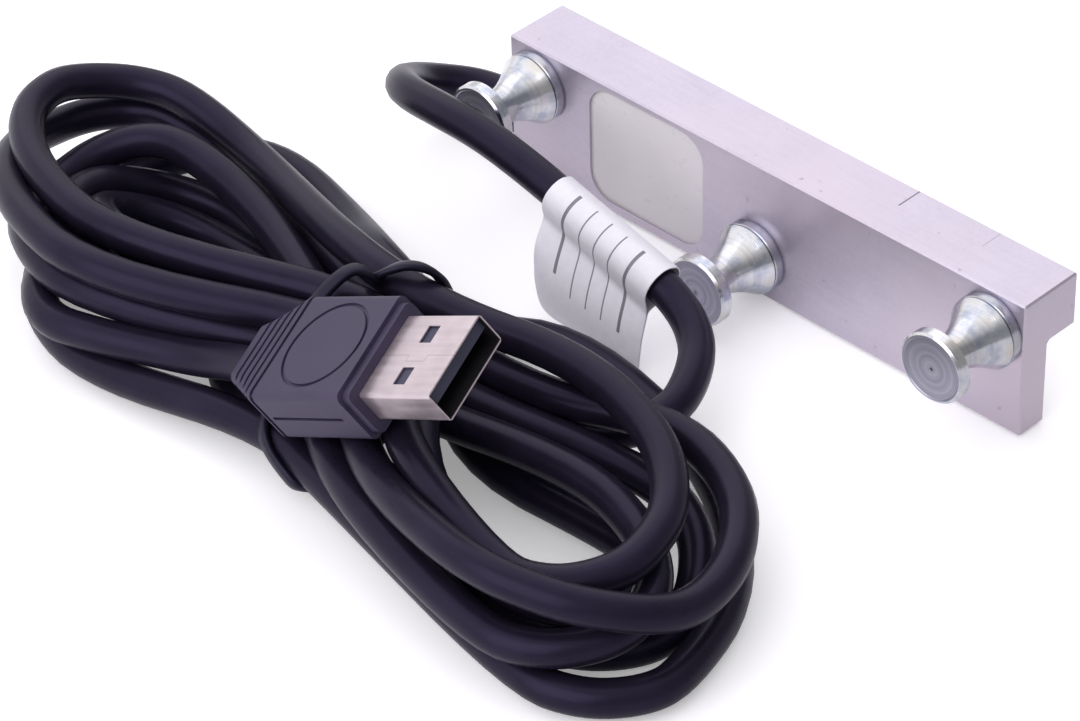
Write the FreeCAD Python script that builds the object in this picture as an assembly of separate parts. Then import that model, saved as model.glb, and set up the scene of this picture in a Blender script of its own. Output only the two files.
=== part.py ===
# Rope overload sensor: a milled aluminium bar with three turned steel posts that a rope
# is threaded past, a potted signal board in its face, and a data cable wound into a hank.
# Millimetres. +X along the bar, +Y towards its back, +Z up, floor at Z = 0.
import FreeCAD, Part
import math
import os

Vector = FreeCAD.Vector
X_AXIS = Vector(1, 0, 0)
Y_AXIS = Vector(0, 1, 0)
Z_AXIS = Vector(0, 0, 1)

# Bar, an inverted L in section over its right half
BAR_LENGTH = 85.0
BAR_HEIGHT = 19.3
BAR_DEPTH = 9.6
BAR_EDGE_BREAK = 0.25
FLANGE_HEIGHT = 7.5
WEB_DEPTH = 4.6
REBATE_START_X = -6.5
REBATE_CORNER = 3.0

# Posts, turned from round steel rod
POST_REACH = 11.0
POST_SPREAD = 37.5
OUTER_POST_Z = 13.9
CENTRE_POST_Z = 5.85
HEAD_DIAMETER = 9.4
HEAD_THICKNESS = 1.9
HEAD_EDGE_BREAK = 0.3
NECK_DIAMETER = 5.6
BASE_DIAMETER = 9.6
BASE_BAND = 1.3
SPIGOT_DIAMETER = 4.5
SPIGOT_LENGTH = 4.0
DIMPLE_DIAMETER = 1.1
DIMPLE_DEPTH = 0.45

# The bar and its posts share one box, centred on the origin
FRONT_Y = (POST_REACH - BAR_DEPTH) / 2
BACK_Y = FRONT_Y + BAR_DEPTH
END_X = BAR_LENGTH / 2

# Pocket in the front face, filled with potting
POCKET_X = -18.7
POCKET_Z = 9.9
POCKET_WIDTH = 19.6
POCKET_HEIGHT = 16.9
POCKET_CORNER = 3.7
POCKET_DEPTH = 5.6
POTTING_RECESS = 0.3
POCKET_FLOOR_Y = FRONT_Y + POCKET_DEPTH

# Electronics in the pocket
GAUGE_SIZE = (6.4, 4.2)
GAUGE_THICKNESS = 0.15
GAUGE_OFFSET_Z = 4.6
BOARD_SIZE = (16.0, 13.0)
BOARD_THICKNESS = 1.0
BOARD_FRONT_Y = FRONT_Y + 2.4
BOARD_BACK_Y = BOARD_FRONT_Y + BOARD_THICKNESS
CONVERTER_SIZE = (5.0, 5.0, 0.9)
CONVERTER_OFFSET = (-3.6, 1.6)
AMPLIFIER_SIZE = (4.0, 3.0, 0.8)
AMPLIFIER_OFFSET = (3.8, 2.6)
CRYSTAL_SIZE = (3.2, 2.5, 0.7)
CRYSTAL_OFFSET = (3.6, -1.8)
CAPACITOR_SIZE = (0.8, 1.6, 0.8)
CAPACITOR_PITCH = 1.8
CAPACITOR_COUNT = 4
CAPACITOR_OFFSET_Z = -4.6

# Cable and the boot moulded on it, in the bar's left end
CABLE_DIAMETER = 4.6
CABLE_Y = FRONT_Y + 4.8
CABLE_Z = 4.8
BORE_DIAMETER = 6.2
BORE_DEPTH = 5.0
CORE_BORE_DIAMETER = 4.8
CORE_DIAMETER = 0.8
CORE_PITCH = 1.0
CORE_COUNT = 4
CORE_OVERLAP = 3.0
BOOT_FLANGE_DIAMETER = 8.2
BOOT_FLANGE = 1.0
BOOT_NOSE_ROOT = 7.0
BOOT_NOSE_TIP = 5.6
BOOT_NOSE = 3.0

# Route of the lead from the boot to the hank
LEAD_ROUTE = [
    (-END_X - BOOT_FLANGE - BOOT_NOSE, CABLE_Y, CABLE_Z),
    (-50.2, CABLE_Y, CABLE_Z),
    (-54.9, 2.4, 6.3),
    (-56.2, -3.7, 8.9),
    (-53.2, -9.4, 12.1),
    (-47.2, -13.0, 14.8),
    (-40.0, -14.4, 16.5),
    (-32.4, -14.9, 17.0),
    (-24.0, -15.5, 16.3),
    (-14.5, -16.0, 14.5),
    (-5.0, -16.2, 12.0),
    (3.6, -16.6, 9.6),
    (10.4, -19.6, 8.1),
    (14.8, -25.2, 7.3),
    (17.2, -32.0, 7.0),
]
LABEL_FIRST_POINT = 9
LABEL_LAST_POINT = 10

# Route of the tail from the hank to the plug
TAIL_ROUTE = [
    (-55.2, -72.2, 2.0),
    (-51.8, -71.0, 7.0),
    (-46.4, -69.4, 7.2),
    (-40.2, -67.4, 7.3),
    (-33.6, -65.0, 8.0),
]
TAIL_STRAIGHT = 5.5

# Hank: a low tier of turns on the floor and a higher, narrower one, each with two ends
# that widen from the tied waist, and an eye through each end
LOW_TIER_TOP = 4.7
LOW_WAIST = (-17.0, -52.5, 17.5)
LOW_ENDS = [(-53.0, -53.3, 20.4), (20.5, -48.8, 25.2)]
HIGH_WAIST = (-17.0, -47.2, 11.0)
HIGH_ENDS = [(-67.5, -45.5, 17.8), (21.0, -49.7, 19.4)]
HIGH_LEFT_TOP = 17.3
HIGH_RIGHT_TOP = 13.2
HANK_ROUNDING = 2.2
EYES = [((-38.0, -47.0, 2.0), (-60.0, -45.0, 5.5)), ((2.0, -54.5, 2.5), (22.0, -54.5, 5.8))]

# Flat wire tie round the waist
TIE_WIDTH = 3.0
TIE_THICKNESS = 0.7
TIE_CENTRE = Vector(-17.0, -52.5, 0)
TIE_TURN = 12.0
TIE_OUTLINE = [
    (-17.6, TIE_THICKNESS),
    (17.4, TIE_THICKNESS),
    (17.4, 10.4),
    (14.6, 13.4),
    (6.6, 13.4),
    (-6.0, 9.9),
    (-17.6, 4.2),
]

# Paper label wrapped round the lead, its ends joined into a flag
LABEL_PAPER = 0.25
FLAG_DROP = Vector(1.8, -5.2, -14.2)
FLAG_SHORT_SIDE = 0.66
FLAG_THICKNESS = 0.35
FLAG_CORNER = 2.6

# Type-A data plug, lying on the hank with its nose up
PLUG_NOSE = Vector(11.1, -59.9, 28.3)
PLUG_YAW = -176.4
PLUG_PITCH = 25.9
PLUG_ROLL = -22.3
PLUG_HEADROOM = 40.0
SHELL_WIDTH = 12.0
SHELL_HEIGHT = 4.5
SHELL_WALL = 0.3
SHELL_CORNER = 0.5
SHELL_EXPOSED = 12.0
SHELL_INSERTION = 6.0
WINDOW_SIZE = (2.0, 2.5)
WINDOW_X = 6.3
WINDOW_Y = 3.04
TONGUE_SETBACK = 0.6
TONGUE_THICKNESS = 1.75
CAVITY_DEPTH = 9.5
CONTACT_PITCHES = (-3.5, -1.0, 1.0, 3.5)
CONTACT_WIDTH = 1.0
CONTACT_THICKNESS = 0.25
POWER_CONTACT_SETBACK = 1.2
DATA_CONTACT_SETBACK = 2.2
BODY_WIDTH = 15.6
BODY_HEIGHT = 8.0
BODY_CORNER = 1.0
BODY_FRAME = 1.2
BODY_FRAME_STEP = 0.55
BODY_TAPER_X = 29.4
BODY_END_X = 36.3
BODY_END_WIDTH = 8.6
BODY_END_HEIGHT = 6.2
THUMB_RING_X = 21.0
THUMB_RING_RADIUS = 6.3
THUMB_RING_GROOVE = 0.5
THUMB_RING_DEPTH = 0.3
RIB_START_X = 28.6
RIB_PITCH = 1.45
RIB_COUNT = 5
RIB_GROOVE = 0.55
RIB_DEPTH = 0.4
SIDE_SLIT = (15.4, 28.0)
SIDE_SLIT_HEIGHT = 0.5
SIDE_SLIT_DEPTH = 0.45


def box(x0, x1, y0, y1, z0, z1):
    return Part.makeBox(x1 - x0, y1 - y0, z1 - z0, Vector(x0, y0, z0))


# A block centred across Y and Z, from x0 to x1
def centred_block(x0, x1, width, height):
    return box(x0, x1, -width / 2, width / 2, -height / 2, height / 2)


def is_along(edge, axis):
    return abs(abs(edge.tangentAt(edge.FirstParameter).dot(axis)) - 1) < 1e-6


def edges_along(shape, axis):
    return [edge for edge in shape.Edges if is_along(edge, axis)]


def rounded(shape, axis, radius):
    return shape.makeFillet(radius, edges_along(shape, axis))


def fuse_all(shapes):
    return shapes[0].multiFuse(shapes[1:]).removeSplitter()


def polygon_face(points):
    return Part.Face(Part.makePolygon(points + points[:1]))


# Posts
def post_profile():
    head_r = HEAD_DIAMETER / 2
    base_r = BASE_DIAMETER / 2
    neck_r = NECK_DIAMETER / 2
    neck_y = -(POST_REACH - HEAD_THICKNESS - 0.25)
    flare_start = Vector(base_r - 0.25, -BASE_BAND, 0)
    flare_middle = Vector(neck_r + 0.42, neck_y * 0.56, 0)
    neck = Vector(neck_r, neck_y, 0)
    outline = [
        Vector(0, SPIGOT_LENGTH, 0),
        Vector(SPIGOT_DIAMETER / 2, SPIGOT_LENGTH, 0),
        Vector(SPIGOT_DIAMETER / 2, 0, 0),
        Vector(base_r, 0, 0),
        Vector(base_r, -BASE_BAND + 0.2, 0),
        flare_start,
    ]
    head = [
        neck,
        Vector(head_r - HEAD_EDGE_BREAK, -(POST_REACH - HEAD_THICKNESS), 0),
        Vector(head_r, -(POST_REACH - HEAD_THICKNESS + HEAD_EDGE_BREAK), 0),
        Vector(head_r, -(POST_REACH - HEAD_EDGE_BREAK), 0),
        Vector(head_r - HEAD_EDGE_BREAK, -POST_REACH, 0),
        Vector(DIMPLE_DIAMETER / 2, -POST_REACH, 0),
        Vector(0, -(POST_REACH - DIMPLE_DEPTH), 0),
    ]
    edges = Part.makePolygon(outline).Edges
    edges.append(Part.Arc(flare_start, flare_middle, neck).toShape())
    edges += Part.makePolygon(head + outline[:1]).Edges
    return Part.Face(Part.Wire(edges))


def post(x, z):
    turned = post_profile().revolve(Vector(0, 0, 0), Y_AXIS, 360)
    turned.translate(Vector(x, FRONT_Y, z))
    return turned


def post_places():
    return {
        "post_left": (-POST_SPREAD, OUTER_POST_Z),
        "post_centre": (0.0, CENTRE_POST_Z),
        "post_right": (POST_SPREAD, OUTER_POST_Z),
    }


# Bar
def pocket_block(depth_from, depth_to):
    block = box(
        POCKET_X - POCKET_WIDTH / 2, POCKET_X + POCKET_WIDTH / 2,
        FRONT_Y + depth_from, FRONT_Y + depth_to,
        POCKET_Z - POCKET_HEIGHT / 2, POCKET_Z + POCKET_HEIGHT / 2)
    return rounded(block, Y_AXIS, POCKET_CORNER)


def rebate():
    margin = 1.0
    roof_z = BAR_HEIGHT - FLANGE_HEIGHT
    block = box(REBATE_START_X, END_X + margin, FRONT_Y + WEB_DEPTH, BACK_Y + margin, -margin, roof_z)
    corner = [edge for edge in edges_along(block, Y_AXIS)
              if edge.CenterOfMass.x < 0 and edge.CenterOfMass.z > margin]
    return block.makeFillet(REBATE_CORNER, corner)


def cable_bores():
    start = Vector(-END_X, CABLE_Y, CABLE_Z)
    reach = END_X + POCKET_X - POCKET_WIDTH / 2 + 1.0
    wide = Part.makeCylinder(BORE_DIAMETER / 2, BORE_DEPTH, start, X_AXIS)
    narrow = Part.makeCylinder(CORE_BORE_DIAMETER / 2, reach, start, X_AXIS)
    return [wide, narrow]


def post_holes():
    return [Part.makeCylinder(SPIGOT_DIAMETER / 2, SPIGOT_LENGTH, Vector(x, FRONT_Y, z), Y_AXIS)
            for x, z in post_places().values()]


def sensor_bar():
    blank = box(-END_X, END_X, FRONT_Y, BACK_Y, 0, BAR_HEIGHT)
    blank = blank.cut(rebate())
    straight = [edge for edge in blank.Edges if edge.Curve.TypeId == "Part::GeomLine"]
    blank = blank.makeChamfer(BAR_EDGE_BREAK, straight)
    cutters = [pocket_block(-1.0, POCKET_DEPTH)] + cable_bores() + post_holes()
    return blank.cut(cutters)


# Electronics
def on_board(size, offset):
    width, height, thickness = size
    x = POCKET_X + offset[0]
    z = POCKET_Z + offset[1]
    back = BOARD_FRONT_Y
    return box(x - width / 2, x + width / 2, back - thickness, back, z - height / 2, z + height / 2)


def strain_gauge(side):
    width, height = GAUGE_SIZE
    z = POCKET_Z + side * GAUGE_OFFSET_Z
    return box(POCKET_X - width / 2, POCKET_X + width / 2, POCKET_FLOOR_Y - GAUGE_THICKNESS, POCKET_FLOOR_Y,
               z - height / 2, z + height / 2)


def signal_board():
    width, height = BOARD_SIZE
    return box(POCKET_X - width / 2, POCKET_X + width / 2, BOARD_FRONT_Y, BOARD_BACK_Y,
               POCKET_Z - height / 2, POCKET_Z + height / 2)


def board_capacitors():
    first = -CAPACITOR_PITCH * (CAPACITOR_COUNT - 1) / 2
    return Part.makeCompound([on_board(CAPACITOR_SIZE, (first + k * CAPACITOR_PITCH, CAPACITOR_OFFSET_Z))
                              for k in range(CAPACITOR_COUNT)])


def cable_cores():
    start_x = -END_X + BORE_DEPTH
    end_x = POCKET_X - BOARD_SIZE[0] / 2 + CORE_OVERLAP
    y = BOARD_BACK_Y + CORE_DIAMETER / 2
    first = CABLE_Z - CORE_PITCH * (CORE_COUNT - 1) / 2
    cores = []
    for k in range(CORE_COUNT):
        start = Vector(start_x, y, first + k * CORE_PITCH)
        cores.append(Part.makeCylinder(CORE_DIAMETER / 2, end_x - start_x, start, X_AXIS))
    return Part.makeCompound(cores)


def electronics():
    return {
        "gauge_upper": strain_gauge(1),
        "gauge_lower": strain_gauge(-1),
        "signal_board": signal_board(),
        "converter_chip": on_board(CONVERTER_SIZE, CONVERTER_OFFSET),
        "amplifier_chip": on_board(AMPLIFIER_SIZE, AMPLIFIER_OFFSET),
        "clock_crystal": on_board(CRYSTAL_SIZE, CRYSTAL_OFFSET),
        "board_capacitors": board_capacitors(),
        "cable_cores": cable_cores(),
    }


def pocket_potting(embedded):
    return pocket_block(POTTING_RECESS, POCKET_DEPTH).cut(list(embedded))


# Cable
def cable_boot():
    start = Vector(-END_X + BORE_DEPTH, CABLE_Y, CABLE_Z)
    face = Vector(-END_X, CABLE_Y, CABLE_Z)
    root = face - X_AXIS * BOOT_FLANGE
    plug = Part.makeCylinder(BORE_DIAMETER / 2, BORE_DEPTH, start, -X_AXIS)
    flange = Part.makeCylinder(BOOT_FLANGE_DIAMETER / 2, BOOT_FLANGE, face, -X_AXIS)
    nose = Part.makeCone(BOOT_NOSE_ROOT / 2, BOOT_NOSE_TIP / 2, BOOT_NOSE, root, -X_AXIS)
    return fuse_all([plug, flange, nose])


# Straight runs joined by tangent arcs, each arc as large as its two runs allow
def route_edges(points):
    points = [Vector(*point) for point in points]
    edges = []
    start = points[0]
    for before, corner, after in zip(points, points[1:], points[2:]):
        back = (before - corner).normalize()
        ahead = (after - corner).normalize()
        half_turn = (math.pi - back.getAngle(ahead)) / 2
        reach = 0.45 * min((before - corner).Length, (after - corner).Length)
        radius = reach / math.tan(half_turn)
        print("radius %.1f turn %.0f" % (radius, math.degrees(2 * half_turn)))
        bisector = (back + ahead).normalize()
        middle = corner + bisector * (radius / math.cos(half_turn) - radius)
        arc_start = corner + back * reach
        arc_end = corner + ahead * reach
        edges.append(Part.LineSegment(start, arc_start).toShape())
        edges.append(Part.Arc(arc_start, middle, arc_end).toShape())
        start = arc_end
    edges.append(Part.LineSegment(start, points[-1]).toShape())
    return edges


def swept_round(edges, diameter):
    path = Part.Wire(edges)
    first = edges[0]
    start = first.valueAt(first.FirstParameter)
    along = first.tangentAt(first.FirstParameter)
    section = Part.Wire([Part.Circle(start, along, diameter / 2).toShape()])
    tube = path.makePipeShell([section], True, False)
    plain_volume = math.pi * diameter ** 2 / 4 * path.Length
    print("tube volume over section times length %.4f" % (tube.Volume / plain_volume))
    return tube


def label_flag(edges, lead):
    wrapped = edges[2 * LABEL_FIRST_POINT - 1:2 * LABEL_LAST_POINT]
    sleeve = swept_round(wrapped, CABLE_DIAMETER + 2 * LABEL_PAPER)
    top_left = wrapped[0].valueAt(wrapped[0].FirstParameter)
    top_right = wrapped[-1].valueAt(wrapped[-1].LastParameter)
    corners = [top_left, top_right, top_right + FLAG_DROP * FLAG_SHORT_SIDE, top_left + FLAG_DROP]
    face = polygon_face(corners)
    normal = face.normalAt(0, 0)
    flag = face.extrude(normal * FLAG_THICKNESS)
    flag.translate(-normal * (FLAG_THICKNESS / 2))
    middle_z = min(top_left.z, top_right.z) / 2
    lower = [edge for edge in edges_along(flag, normal) if edge.CenterOfMass.z < middle_z]
    flag = flag.makeFillet(FLAG_CORNER, lower)
    return sleeve.fuse(flag).cut(lead).removeSplitter()


# Outline that hugs two circles, each given as centre x, centre y and radius
def hugging_face(circle_a, circle_b, z):
    ax, ay, ar = circle_a
    bx, by, br = circle_b
    along = math.atan2(by - ay, bx - ax)
    lean = math.acos((ar - br) / math.hypot(bx - ax, by - ay))

    def on(circle, angle):
        return Vector(circle[0] + circle[2] * math.cos(angle), circle[1] + circle[2] * math.sin(angle), z)

    left_a, left_b = on(circle_a, along + lean), on(circle_b, along + lean)
    right_a, right_b = on(circle_a, along - lean), on(circle_b, along - lean)
    edges = [
        Part.LineSegment(left_a, left_b).toShape(),
        Part.Arc(left_b, on(circle_b, along), right_b).toShape(),
        Part.LineSegment(right_b, right_a).toShape(),
        Part.Arc(right_a, on(circle_a, along + math.pi), left_a).toShape(),
    ]
    return Part.Face(Part.Wire(edges))


def hank_tier(waist, ends, bottom, top):
    return fuse_all([hugging_face(waist, end, bottom).extrude(Z_AXIS * (top - bottom)) for end in ends])


# Everything above a plane that falls from the left end of the hank to the right end
def above_hank():
    left_x = HIGH_ENDS[0][0] - HIGH_ENDS[0][2]
    right_x = HIGH_ENDS[1][0] + HIGH_ENDS[1][2]
    front_y = -2 * BAR_LENGTH
    sky = 2 * HIGH_LEFT_TOP
    wedge = polygon_face([
        Vector(left_x - 1, front_y, HIGH_LEFT_TOP), Vector(right_x + 1, front_y, HIGH_RIGHT_TOP),
        Vector(right_x + 1, front_y, sky), Vector(left_x - 1, front_y, sky)])
    return wedge.extrude(Y_AXIS * -front_y)


def round_over(tier, height):
    rims = [edge for edge in tier.Edges if edge.CenterOfMass.z > height]
    return tier.makeFillet(HANK_ROUNDING, [edge for edge in rims if not is_along(edge, Z_AXIS)])


def tie_core(width, thickness):
    points = [Vector(-width / 2, y, z) for y, z in TIE_OUTLINE]
    wire = Part.makePolygon(points + points[:1])
    if thickness:
        wire = wire.makeOffset2D(thickness)
    core = Part.Face(wire).extrude(X_AXIS * width)
    core.rotate(Vector(0, 0, 0), Z_AXIS, TIE_TURN)
    core.translate(TIE_CENTRE)
    return core


def hank_tie():
    return tie_core(TIE_WIDTH, TIE_THICKNESS).cut(tie_core(TIE_WIDTH, 0))


def tie_slot():
    slot = box(-TIE_WIDTH / 2, TIE_WIDTH / 2, -BAR_LENGTH, BAR_LENGTH, -BAR_LENGTH, BAR_LENGTH)
    slot.rotate(Vector(0, 0, 0), Z_AXIS, TIE_TURN)
    slot.translate(TIE_CENTRE)
    return slot


def cable_hank():
    low = round_over(hank_tier(LOW_WAIST, LOW_ENDS, 0, LOW_TIER_TOP), LOW_TIER_TOP / 2)
    blank = hank_tier(HIGH_WAIST, HIGH_ENDS, LOW_TIER_TOP / 2, HIGH_LEFT_TOP * 1.5)
    high = round_over(blank.cut(above_hank()), HIGH_RIGHT_TOP - HANK_ROUNDING)
    eyes = [hugging_face(small, large, -1).extrude(Z_AXIS * 2 * HIGH_LEFT_TOP) for small, large in EYES]
    turns = fuse_all([low, high]).cut(eyes).cut(plug_room())
    return fuse_all([turns.cut(tie_slot()), tie_core(TIE_WIDTH, 0)])


# Plug, modelled along +X from its nose with the shell's windows up, then laid in place
def lay_plug(shape):
    shape.Placement = FreeCAD.Placement(PLUG_NOSE, FreeCAD.Rotation(PLUG_YAW, PLUG_PITCH, PLUG_ROLL))
    return shape


def plug_room():
    margin = 1.5
    half = BODY_WIDTH / 2 + margin
    return lay_plug(box(-margin, BODY_END_X + margin, -half, half, -BODY_HEIGHT / 2, PLUG_HEADROOM))


def shell_bar(x0, x1, inset):
    bar = centred_block(x0, x1, SHELL_WIDTH - 2 * inset, SHELL_HEIGHT - 2 * inset)
    return rounded(bar, X_AXIS, SHELL_CORNER - inset)


# A pair of latch windows, one above the other, through both broad walls of the shell
def shell_window(y):
    length, width = WINDOW_SIZE
    start = WINDOW_X - length / 2
    return box(start, start + length, y - width / 2, y + width / 2, -SHELL_HEIGHT, SHELL_HEIGHT)


def plug_shell():
    end = SHELL_EXPOSED + SHELL_INSERTION
    tube = shell_bar(0, end, 0).cut(shell_bar(-1, end + 1, SHELL_WALL))
    return tube.cut([shell_window(-WINDOW_Y), shell_window(WINDOW_Y)])


def plug_tongue():
    block = shell_bar(TONGUE_SETBACK, SHELL_EXPOSED + SHELL_INSERTION, SHELL_WALL)
    roof = SHELL_HEIGHT / 2 - SHELL_WALL
    cavity = box(-1, CAVITY_DEPTH, -SHELL_WIDTH, SHELL_WIDTH, -SHELL_HEIGHT, roof - TONGUE_THICKNESS)
    return block.cut(cavity)


def plug_contact(pitch):
    face_z = SHELL_HEIGHT / 2 - SHELL_WALL - TONGUE_THICKNESS
    is_power = abs(pitch) == max(CONTACT_PITCHES)
    start = POWER_CONTACT_SETBACK if is_power else DATA_CONTACT_SETBACK
    half = CONTACT_WIDTH / 2
    return box(start, CAVITY_DEPTH, pitch - half, pitch + half, face_z - CONTACT_THICKNESS, face_z)


def body_block(x0, x1, width, height):
    return rounded(centred_block(x0, x1, width, height), X_AXIS, BODY_CORNER)


def front_wire(block):
    return min(block.Faces, key=lambda face: face.CenterOfMass.x).OuterWire


def overmould_block():
    front = SHELL_EXPOSED
    step = 2 * BODY_FRAME_STEP
    frame = body_block(front, front + BODY_FRAME, BODY_WIDTH - step, BODY_HEIGHT - step)
    body = body_block(front + BODY_FRAME, BODY_TAPER_X, BODY_WIDTH, BODY_HEIGHT)
    wide = front_wire(body_block(BODY_TAPER_X, BODY_END_X, BODY_WIDTH, BODY_HEIGHT))
    narrow = front_wire(body_block(BODY_END_X, BODY_END_X + 1, BODY_END_WIDTH, BODY_END_HEIGHT))
    taper = Part.makeLoft([wide, narrow], True, True)
    return fuse_all([frame, body, taper])


def thumb_ring():
    base = Vector(THUMB_RING_X, 0, BODY_HEIGHT / 2 - THUMB_RING_DEPTH)
    outer = Part.makeCylinder(THUMB_RING_RADIUS, BODY_HEIGHT, base, Z_AXIS)
    return outer.cut(Part.makeCylinder(THUMB_RING_RADIUS - THUMB_RING_GROOVE, BODY_HEIGHT, base, Z_AXIS))


# Grip grooves follow the taper in depth, so each leaves the same land behind it
def grip_groove(x):
    fall = max(0.0, (x - BODY_TAPER_X) / (BODY_END_X - BODY_TAPER_X))
    height = BODY_HEIGHT + fall * (BODY_END_HEIGHT - BODY_HEIGHT)
    width = BODY_WIDTH + fall * (BODY_END_WIDTH - BODY_WIDTH)
    around = centred_block(x, x + RIB_GROOVE, 2 * BODY_WIDTH, 2 * BODY_HEIGHT)
    return around.cut(centred_block(x - 1, x + 2, width - 2 * RIB_DEPTH, height - 2 * RIB_DEPTH))


def side_slits():
    start, end = SIDE_SLIT
    inner = BODY_WIDTH / 2 - SIDE_SLIT_DEPTH
    half = SIDE_SLIT_HEIGHT / 2
    across = box(start, end, -BODY_WIDTH, BODY_WIDTH, -half, half)
    return across.cut(box(start, end, -inner, inner, -half, half))


def plug_overmould():
    socket = shell_bar(SHELL_EXPOSED - 1, SHELL_EXPOSED + SHELL_INSERTION, 0)
    grooves = [grip_groove(RIB_START_X + k * RIB_PITCH) for k in range(RIB_COUNT)]
    return overmould_block().cut([socket, thumb_ring(), side_slits()] + grooves)


def plug_pieces():
    pieces = {
        "plug_overmould": plug_overmould(),
        "plug_shell": plug_shell(),
        "plug_tongue": plug_tongue(),
    }
    for number, pitch in enumerate(CONTACT_PITCHES, 1):
        pieces["plug_contact_%d" % number] = plug_contact(pitch)
    return {name: lay_plug(piece) for name, piece in pieces.items()}


# The tail's last run is on the plug's own axis, so its end lies flat on the overmould
def tail_points():
    place = FreeCAD.Placement(PLUG_NOSE, FreeCAD.Rotation(PLUG_YAW, PLUG_PITCH, PLUG_ROLL))
    on_axis = [place.multVec(Vector(BODY_END_X + behind, 0, 0)) for behind in (TAIL_STRAIGHT, 0)]
    return TAIL_ROUTE + [tuple(point) for point in on_axis]


def cable_pieces():
    hank = cable_hank()
    lead_edges = route_edges(LEAD_ROUTE)
    lead = swept_round(lead_edges, CABLE_DIAMETER)
    tail = swept_round(route_edges(tail_points()), CABLE_DIAMETER)
    return {
        "cable_boot": cable_boot(),
        "cable_lead": lead.cut(hank),
        "cable_hank": hank,
        "cable_tail": tail.cut(hank),
        "hank_tie": hank_tie(),
        "label_flag": label_flag(lead_edges, lead),
    }


def all_pieces():
    pieces = {"sensor_bar": sensor_bar()}
    for name, (x, z) in post_places().items():
        pieces[name] = post(x, z)
    inner = electronics()
    pieces["pocket_potting"] = pocket_potting(inner.values())
    pieces.update(inner)
    pieces.update(cable_pieces())
    pieces.update(plug_pieces())
    return pieces


os.makedirs("parts", exist_ok=True)
for node, shape in all_pieces().items():
    print(node, "solids", len(shape.Solids), "valid", shape.isValid(), "volume %.1f" % shape.Volume)
    shape.exportStep("parts/%s.step" % node)
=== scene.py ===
import math
import bpy
from mathutils import Matrix, Vector


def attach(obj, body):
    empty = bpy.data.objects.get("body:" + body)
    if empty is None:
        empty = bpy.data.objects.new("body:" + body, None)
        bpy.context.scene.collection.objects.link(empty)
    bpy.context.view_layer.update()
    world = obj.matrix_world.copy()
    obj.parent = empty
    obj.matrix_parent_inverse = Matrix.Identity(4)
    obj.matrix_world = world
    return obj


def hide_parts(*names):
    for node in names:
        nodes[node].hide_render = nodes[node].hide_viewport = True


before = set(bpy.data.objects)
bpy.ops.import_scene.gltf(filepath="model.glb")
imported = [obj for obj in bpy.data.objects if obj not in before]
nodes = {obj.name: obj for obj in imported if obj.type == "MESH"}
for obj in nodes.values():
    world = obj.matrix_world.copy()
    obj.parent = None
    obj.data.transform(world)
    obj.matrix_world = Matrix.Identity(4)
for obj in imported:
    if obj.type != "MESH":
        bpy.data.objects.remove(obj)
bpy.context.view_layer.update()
mm = 0.001
weld = 0.00001  # points nearer than this are merged
bpy.ops.object.select_all(action="DESELECT")
print("frame loaded with", len(nodes), "nodes")

# the camera stands to the right of the bar's front, looking down over the hank
viewPoint = {
    "eye": (0.29970, -0.33184, 0.33560),
    "right": (0.71253, 0.70128, -0.02134),
    "up": (-0.41713, 0.44789, 0.79082),
    "back": (0.56410, -0.55460, 0.61170),
    "lens": 149.475,
}


def placeCamera(view):
    bpy.ops.object.camera_add(location=view["eye"])
    camera = bpy.context.object
    camera.name = "photoCamera"
    camera.data.sensor_fit = "HORIZONTAL"
    camera.data.sensor_width = 36.0
    camera.data.lens = view["lens"]
    camera.data.clip_start = 0.01
    turn = Matrix((view["right"], view["up"], view["back"])).transposed()
    camera.rotation_euler = turn.to_euler()
    bpy.context.scene.camera = camera


placeCamera(viewPoint)
print("camera placed")


# node helpers
def newMaterial(name, base, rough, metal=0.0, **sockets):
    material = bpy.data.materials.new(name)
    material.use_nodes = True
    tree = material.node_tree
    shader = tree.nodes["Principled BSDF"]
    shader.inputs["Base Color"].default_value = (*base, 1.0)
    shader.inputs["Roughness"].default_value = rough
    shader.inputs["Metallic"].default_value = metal
    for key, value in sockets.items():
        shader.inputs[key.replace("_", " ")].default_value = value
    return material, tree, shader


def addNode(tree, kind, inputs=None, **settings):
    made = tree.nodes.new("ShaderNode" + kind)
    for key, value in settings.items():
        setattr(made, key, value)
    for key, value in (inputs or {}).items():
        made.inputs[key].default_value = value
    return made


def place(tree, scale=(1, 1, 1), move=(0, 0, 0)):
    coords = addNode(tree, "TexCoord")
    mapping = addNode(tree, "Mapping", {"Scale": scale, "Location": move})
    tree.links.new(coords.outputs["Object"], mapping.inputs["Vector"])
    return mapping.outputs["Vector"]


def noise(tree, vector, scale, detail=3.0, rough=0.5):
    made = addNode(tree, "TexNoise", {"Scale": scale, "Detail": detail, "Roughness": rough})
    tree.links.new(vector, made.inputs["Vector"])
    return made.outputs["Fac"]


def spread(tree, value, low, high, outLow, outHigh):
    made = addNode(tree, "MapRange", {"From Min": low, "From Max": high, "To Min": outLow, "To Max": outHigh})
    tree.links.new(value, made.inputs["Value"])
    return made.outputs["Result"]


def tones(tree, value, *stops):
    ramp = addNode(tree, "ValToRGB")
    line = ramp.color_ramp
    while len(line.elements) < len(stops):
        line.elements.new(0.5)
    for element, (at, colour) in zip(line.elements, stops):
        element.position = at
        element.color = (*colour, 1.0)
    tree.links.new(value, ramp.inputs["Fac"])
    return ramp.outputs["Color"]


def blendColours(tree, share, first, second):
    made = addNode(tree, "Mix", data_type="RGBA")
    tree.links.new(share, made.inputs["Factor"])
    for socket, value in ((made.inputs[6], first), (made.inputs[7], second)):
        if isinstance(value, tuple):
            socket.default_value = (*value, 1.0)
        else:
            tree.links.new(value, socket)
    return made.outputs[2]


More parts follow.
